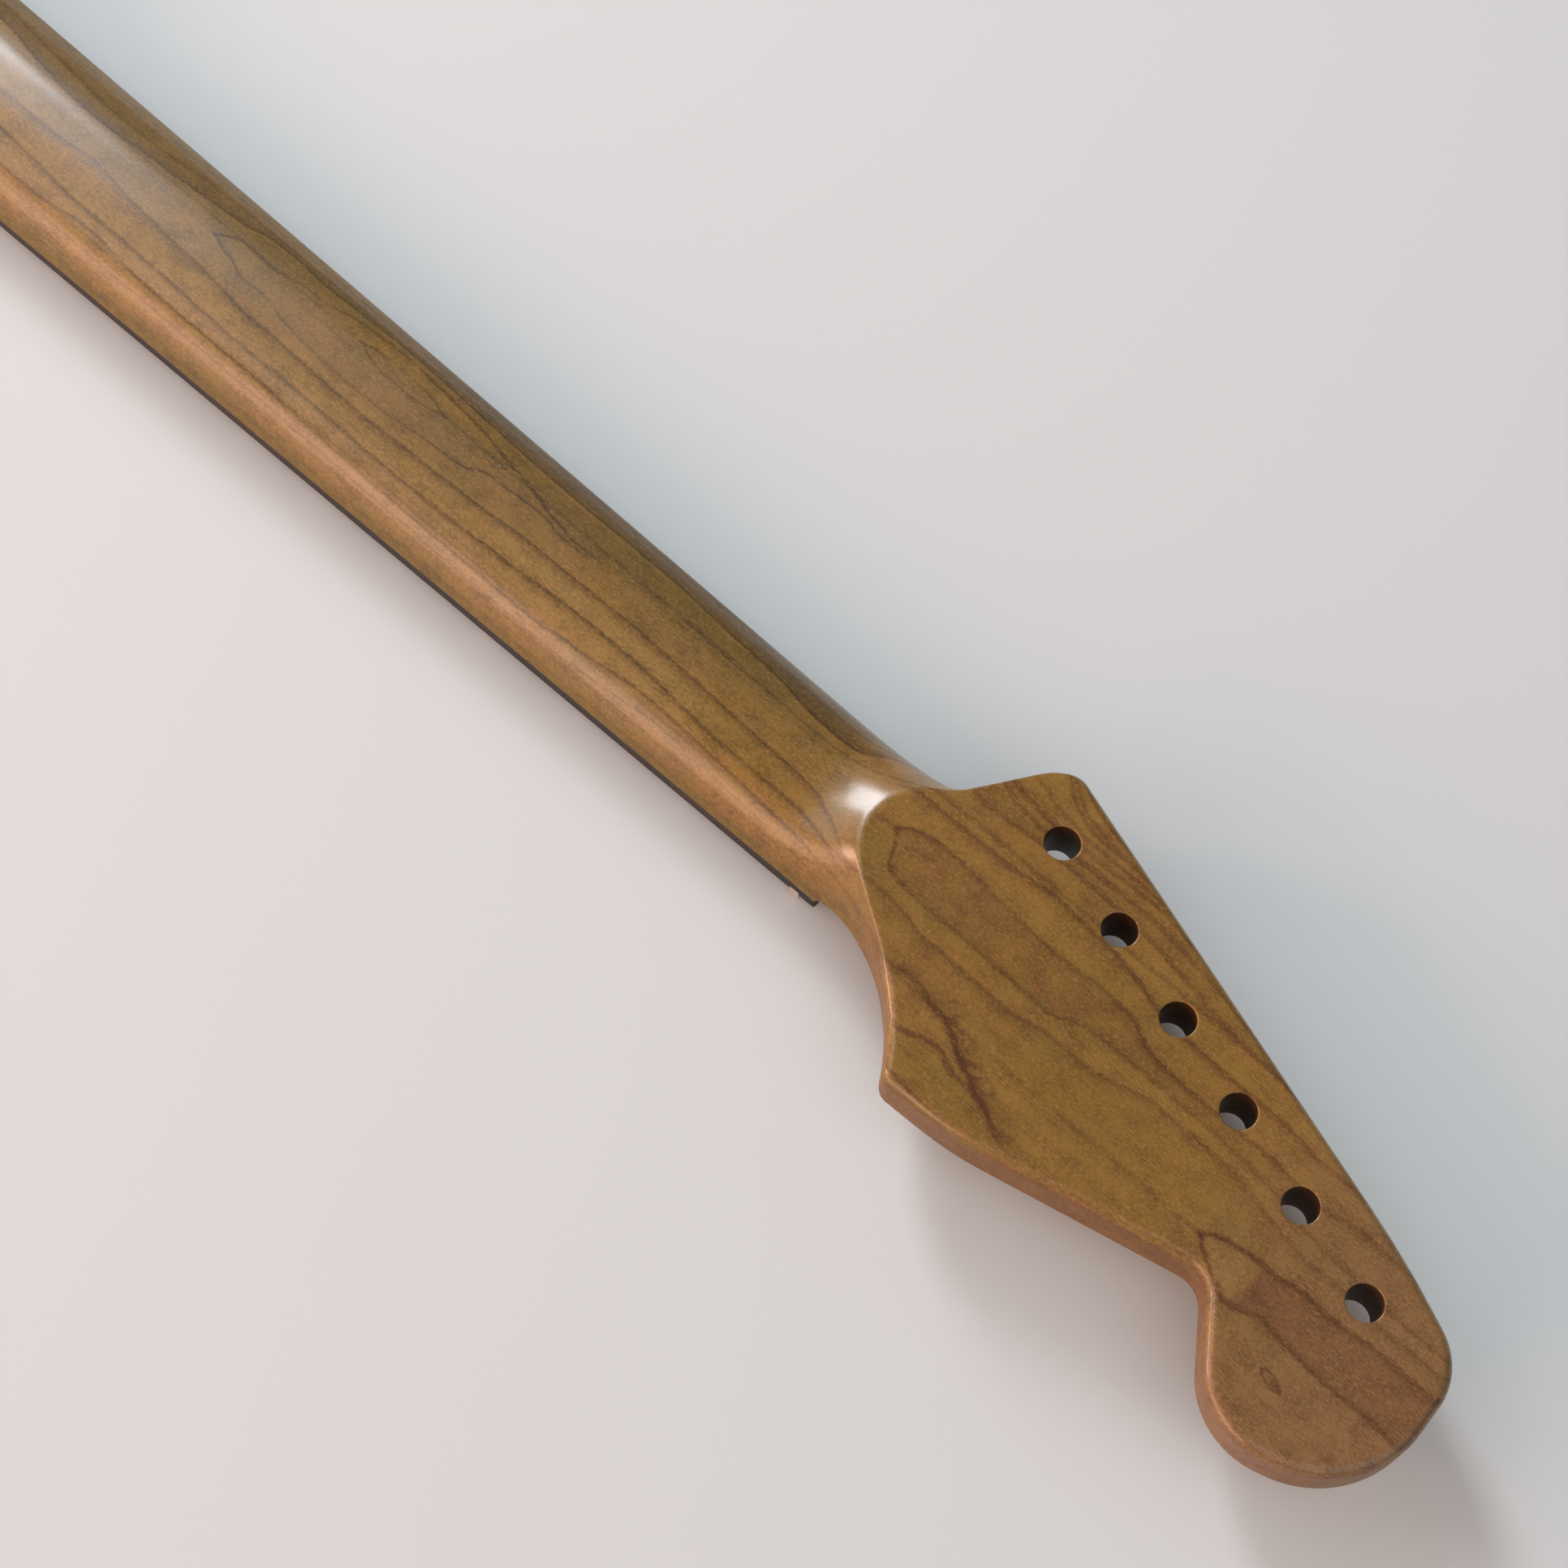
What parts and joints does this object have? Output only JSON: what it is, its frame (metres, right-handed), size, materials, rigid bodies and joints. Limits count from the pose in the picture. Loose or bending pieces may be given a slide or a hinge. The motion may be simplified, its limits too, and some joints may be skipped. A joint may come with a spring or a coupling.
{
  "type": "electric guitar neck",
  "caption": "Left-handed bolt-on guitar neck: tinted maple shaft and in-line headstock with bare tuner holes, dark fretted board, nut and adjustable truss rod.",
  "frame": {"origin": "middle of the four heel screw holes, on the heel's flat back", "axes": "+X along the neck from the heel to the headstock's tip, +Y to the edge with the tuner holes, +Z out of the neck's back, so the part lies on its frets as in the picture"},
  "size_m": [0.6644, 0.0981, 0.0282],
  "materials": {
    "maple": "tinted maple under a thin gloss lacquer",
    "fingerboard_wood": "dark oiled rosewood-like board",
    "nut": "pale, slightly clear bone-like nut",
    "fretwire": "nickel silver, worn smooth",
    "face_dots": "pearl-like inlay",
    "side_dots": "plain white inlay",
    "rod_blocks": "milled brass",
    "rod_steel": "mill-finished steel",
    "adjusting_nut": "black oxide steel"
  },
  "bodies": {
    "neck_body": {"neck": "maple", "fingerboard": "fingerboard_wood", "nut": "nut", "fret_01": "fretwire", "fret_02": "fretwire", "fret_03": "fretwire", "fret_04": "fretwire", "fret_05": "fretwire", "fret_06": "fretwire", "fret_07": "fretwire", "fret_08": "fretwire", "fret_09": "fretwire", "fret_10": "fretwire", "fret_11": "fretwire", "fret_12": "fretwire", "fret_13": "fretwire", "fret_14": "fretwire", "fret_15": "fretwire", "fret_16": "fretwire", "fret_17": "fretwire", "fret_18": "fretwire", "fret_19": "fretwire", "fret_20": "fretwire", "fret_21": "fretwire", "fret_22": "fretwire", "face_dot_03": "face_dots", "face_dot_05": "face_dots", "face_dot_07": "face_dots", "face_dot_09": "face_dots", "face_dot_12_bass": "face_dots", "face_dot_12_treble": "face_dots", "face_dot_15": "face_dots", "face_dot_17": "face_dots", "face_dot_19": "face_dots", "face_dot_21": "face_dots", "side_dot_03": "side_dots", "side_dot_05": "side_dots", "side_dot_07": "side_dots", "side_dot_09": "side_dots", "side_dot_12_bass": "side_dots", "side_dot_12_treble": "side_dots", "side_dot_15": "side_dots", "side_dot_17": "side_dots", "side_dot_19": "side_dots", "side_dot_21": "side_dots", "rear_rod_block": "rod_blocks", "front_rod_block": "rod_blocks", "tension_bar": "rod_steel"},
    "rod": {"truss_rod": "rod_steel", "adjusting_nut": "adjusting_nut"}
  },
  "joints": [
    {"name": "rod_turn", "type": "hinge", "parent": "neck_body", "child": "rod", "pos_m": [0.43345, 0, -0.0139], "axis": [1, 0, 0], "range_deg": [-360, 360]}
  ]
}
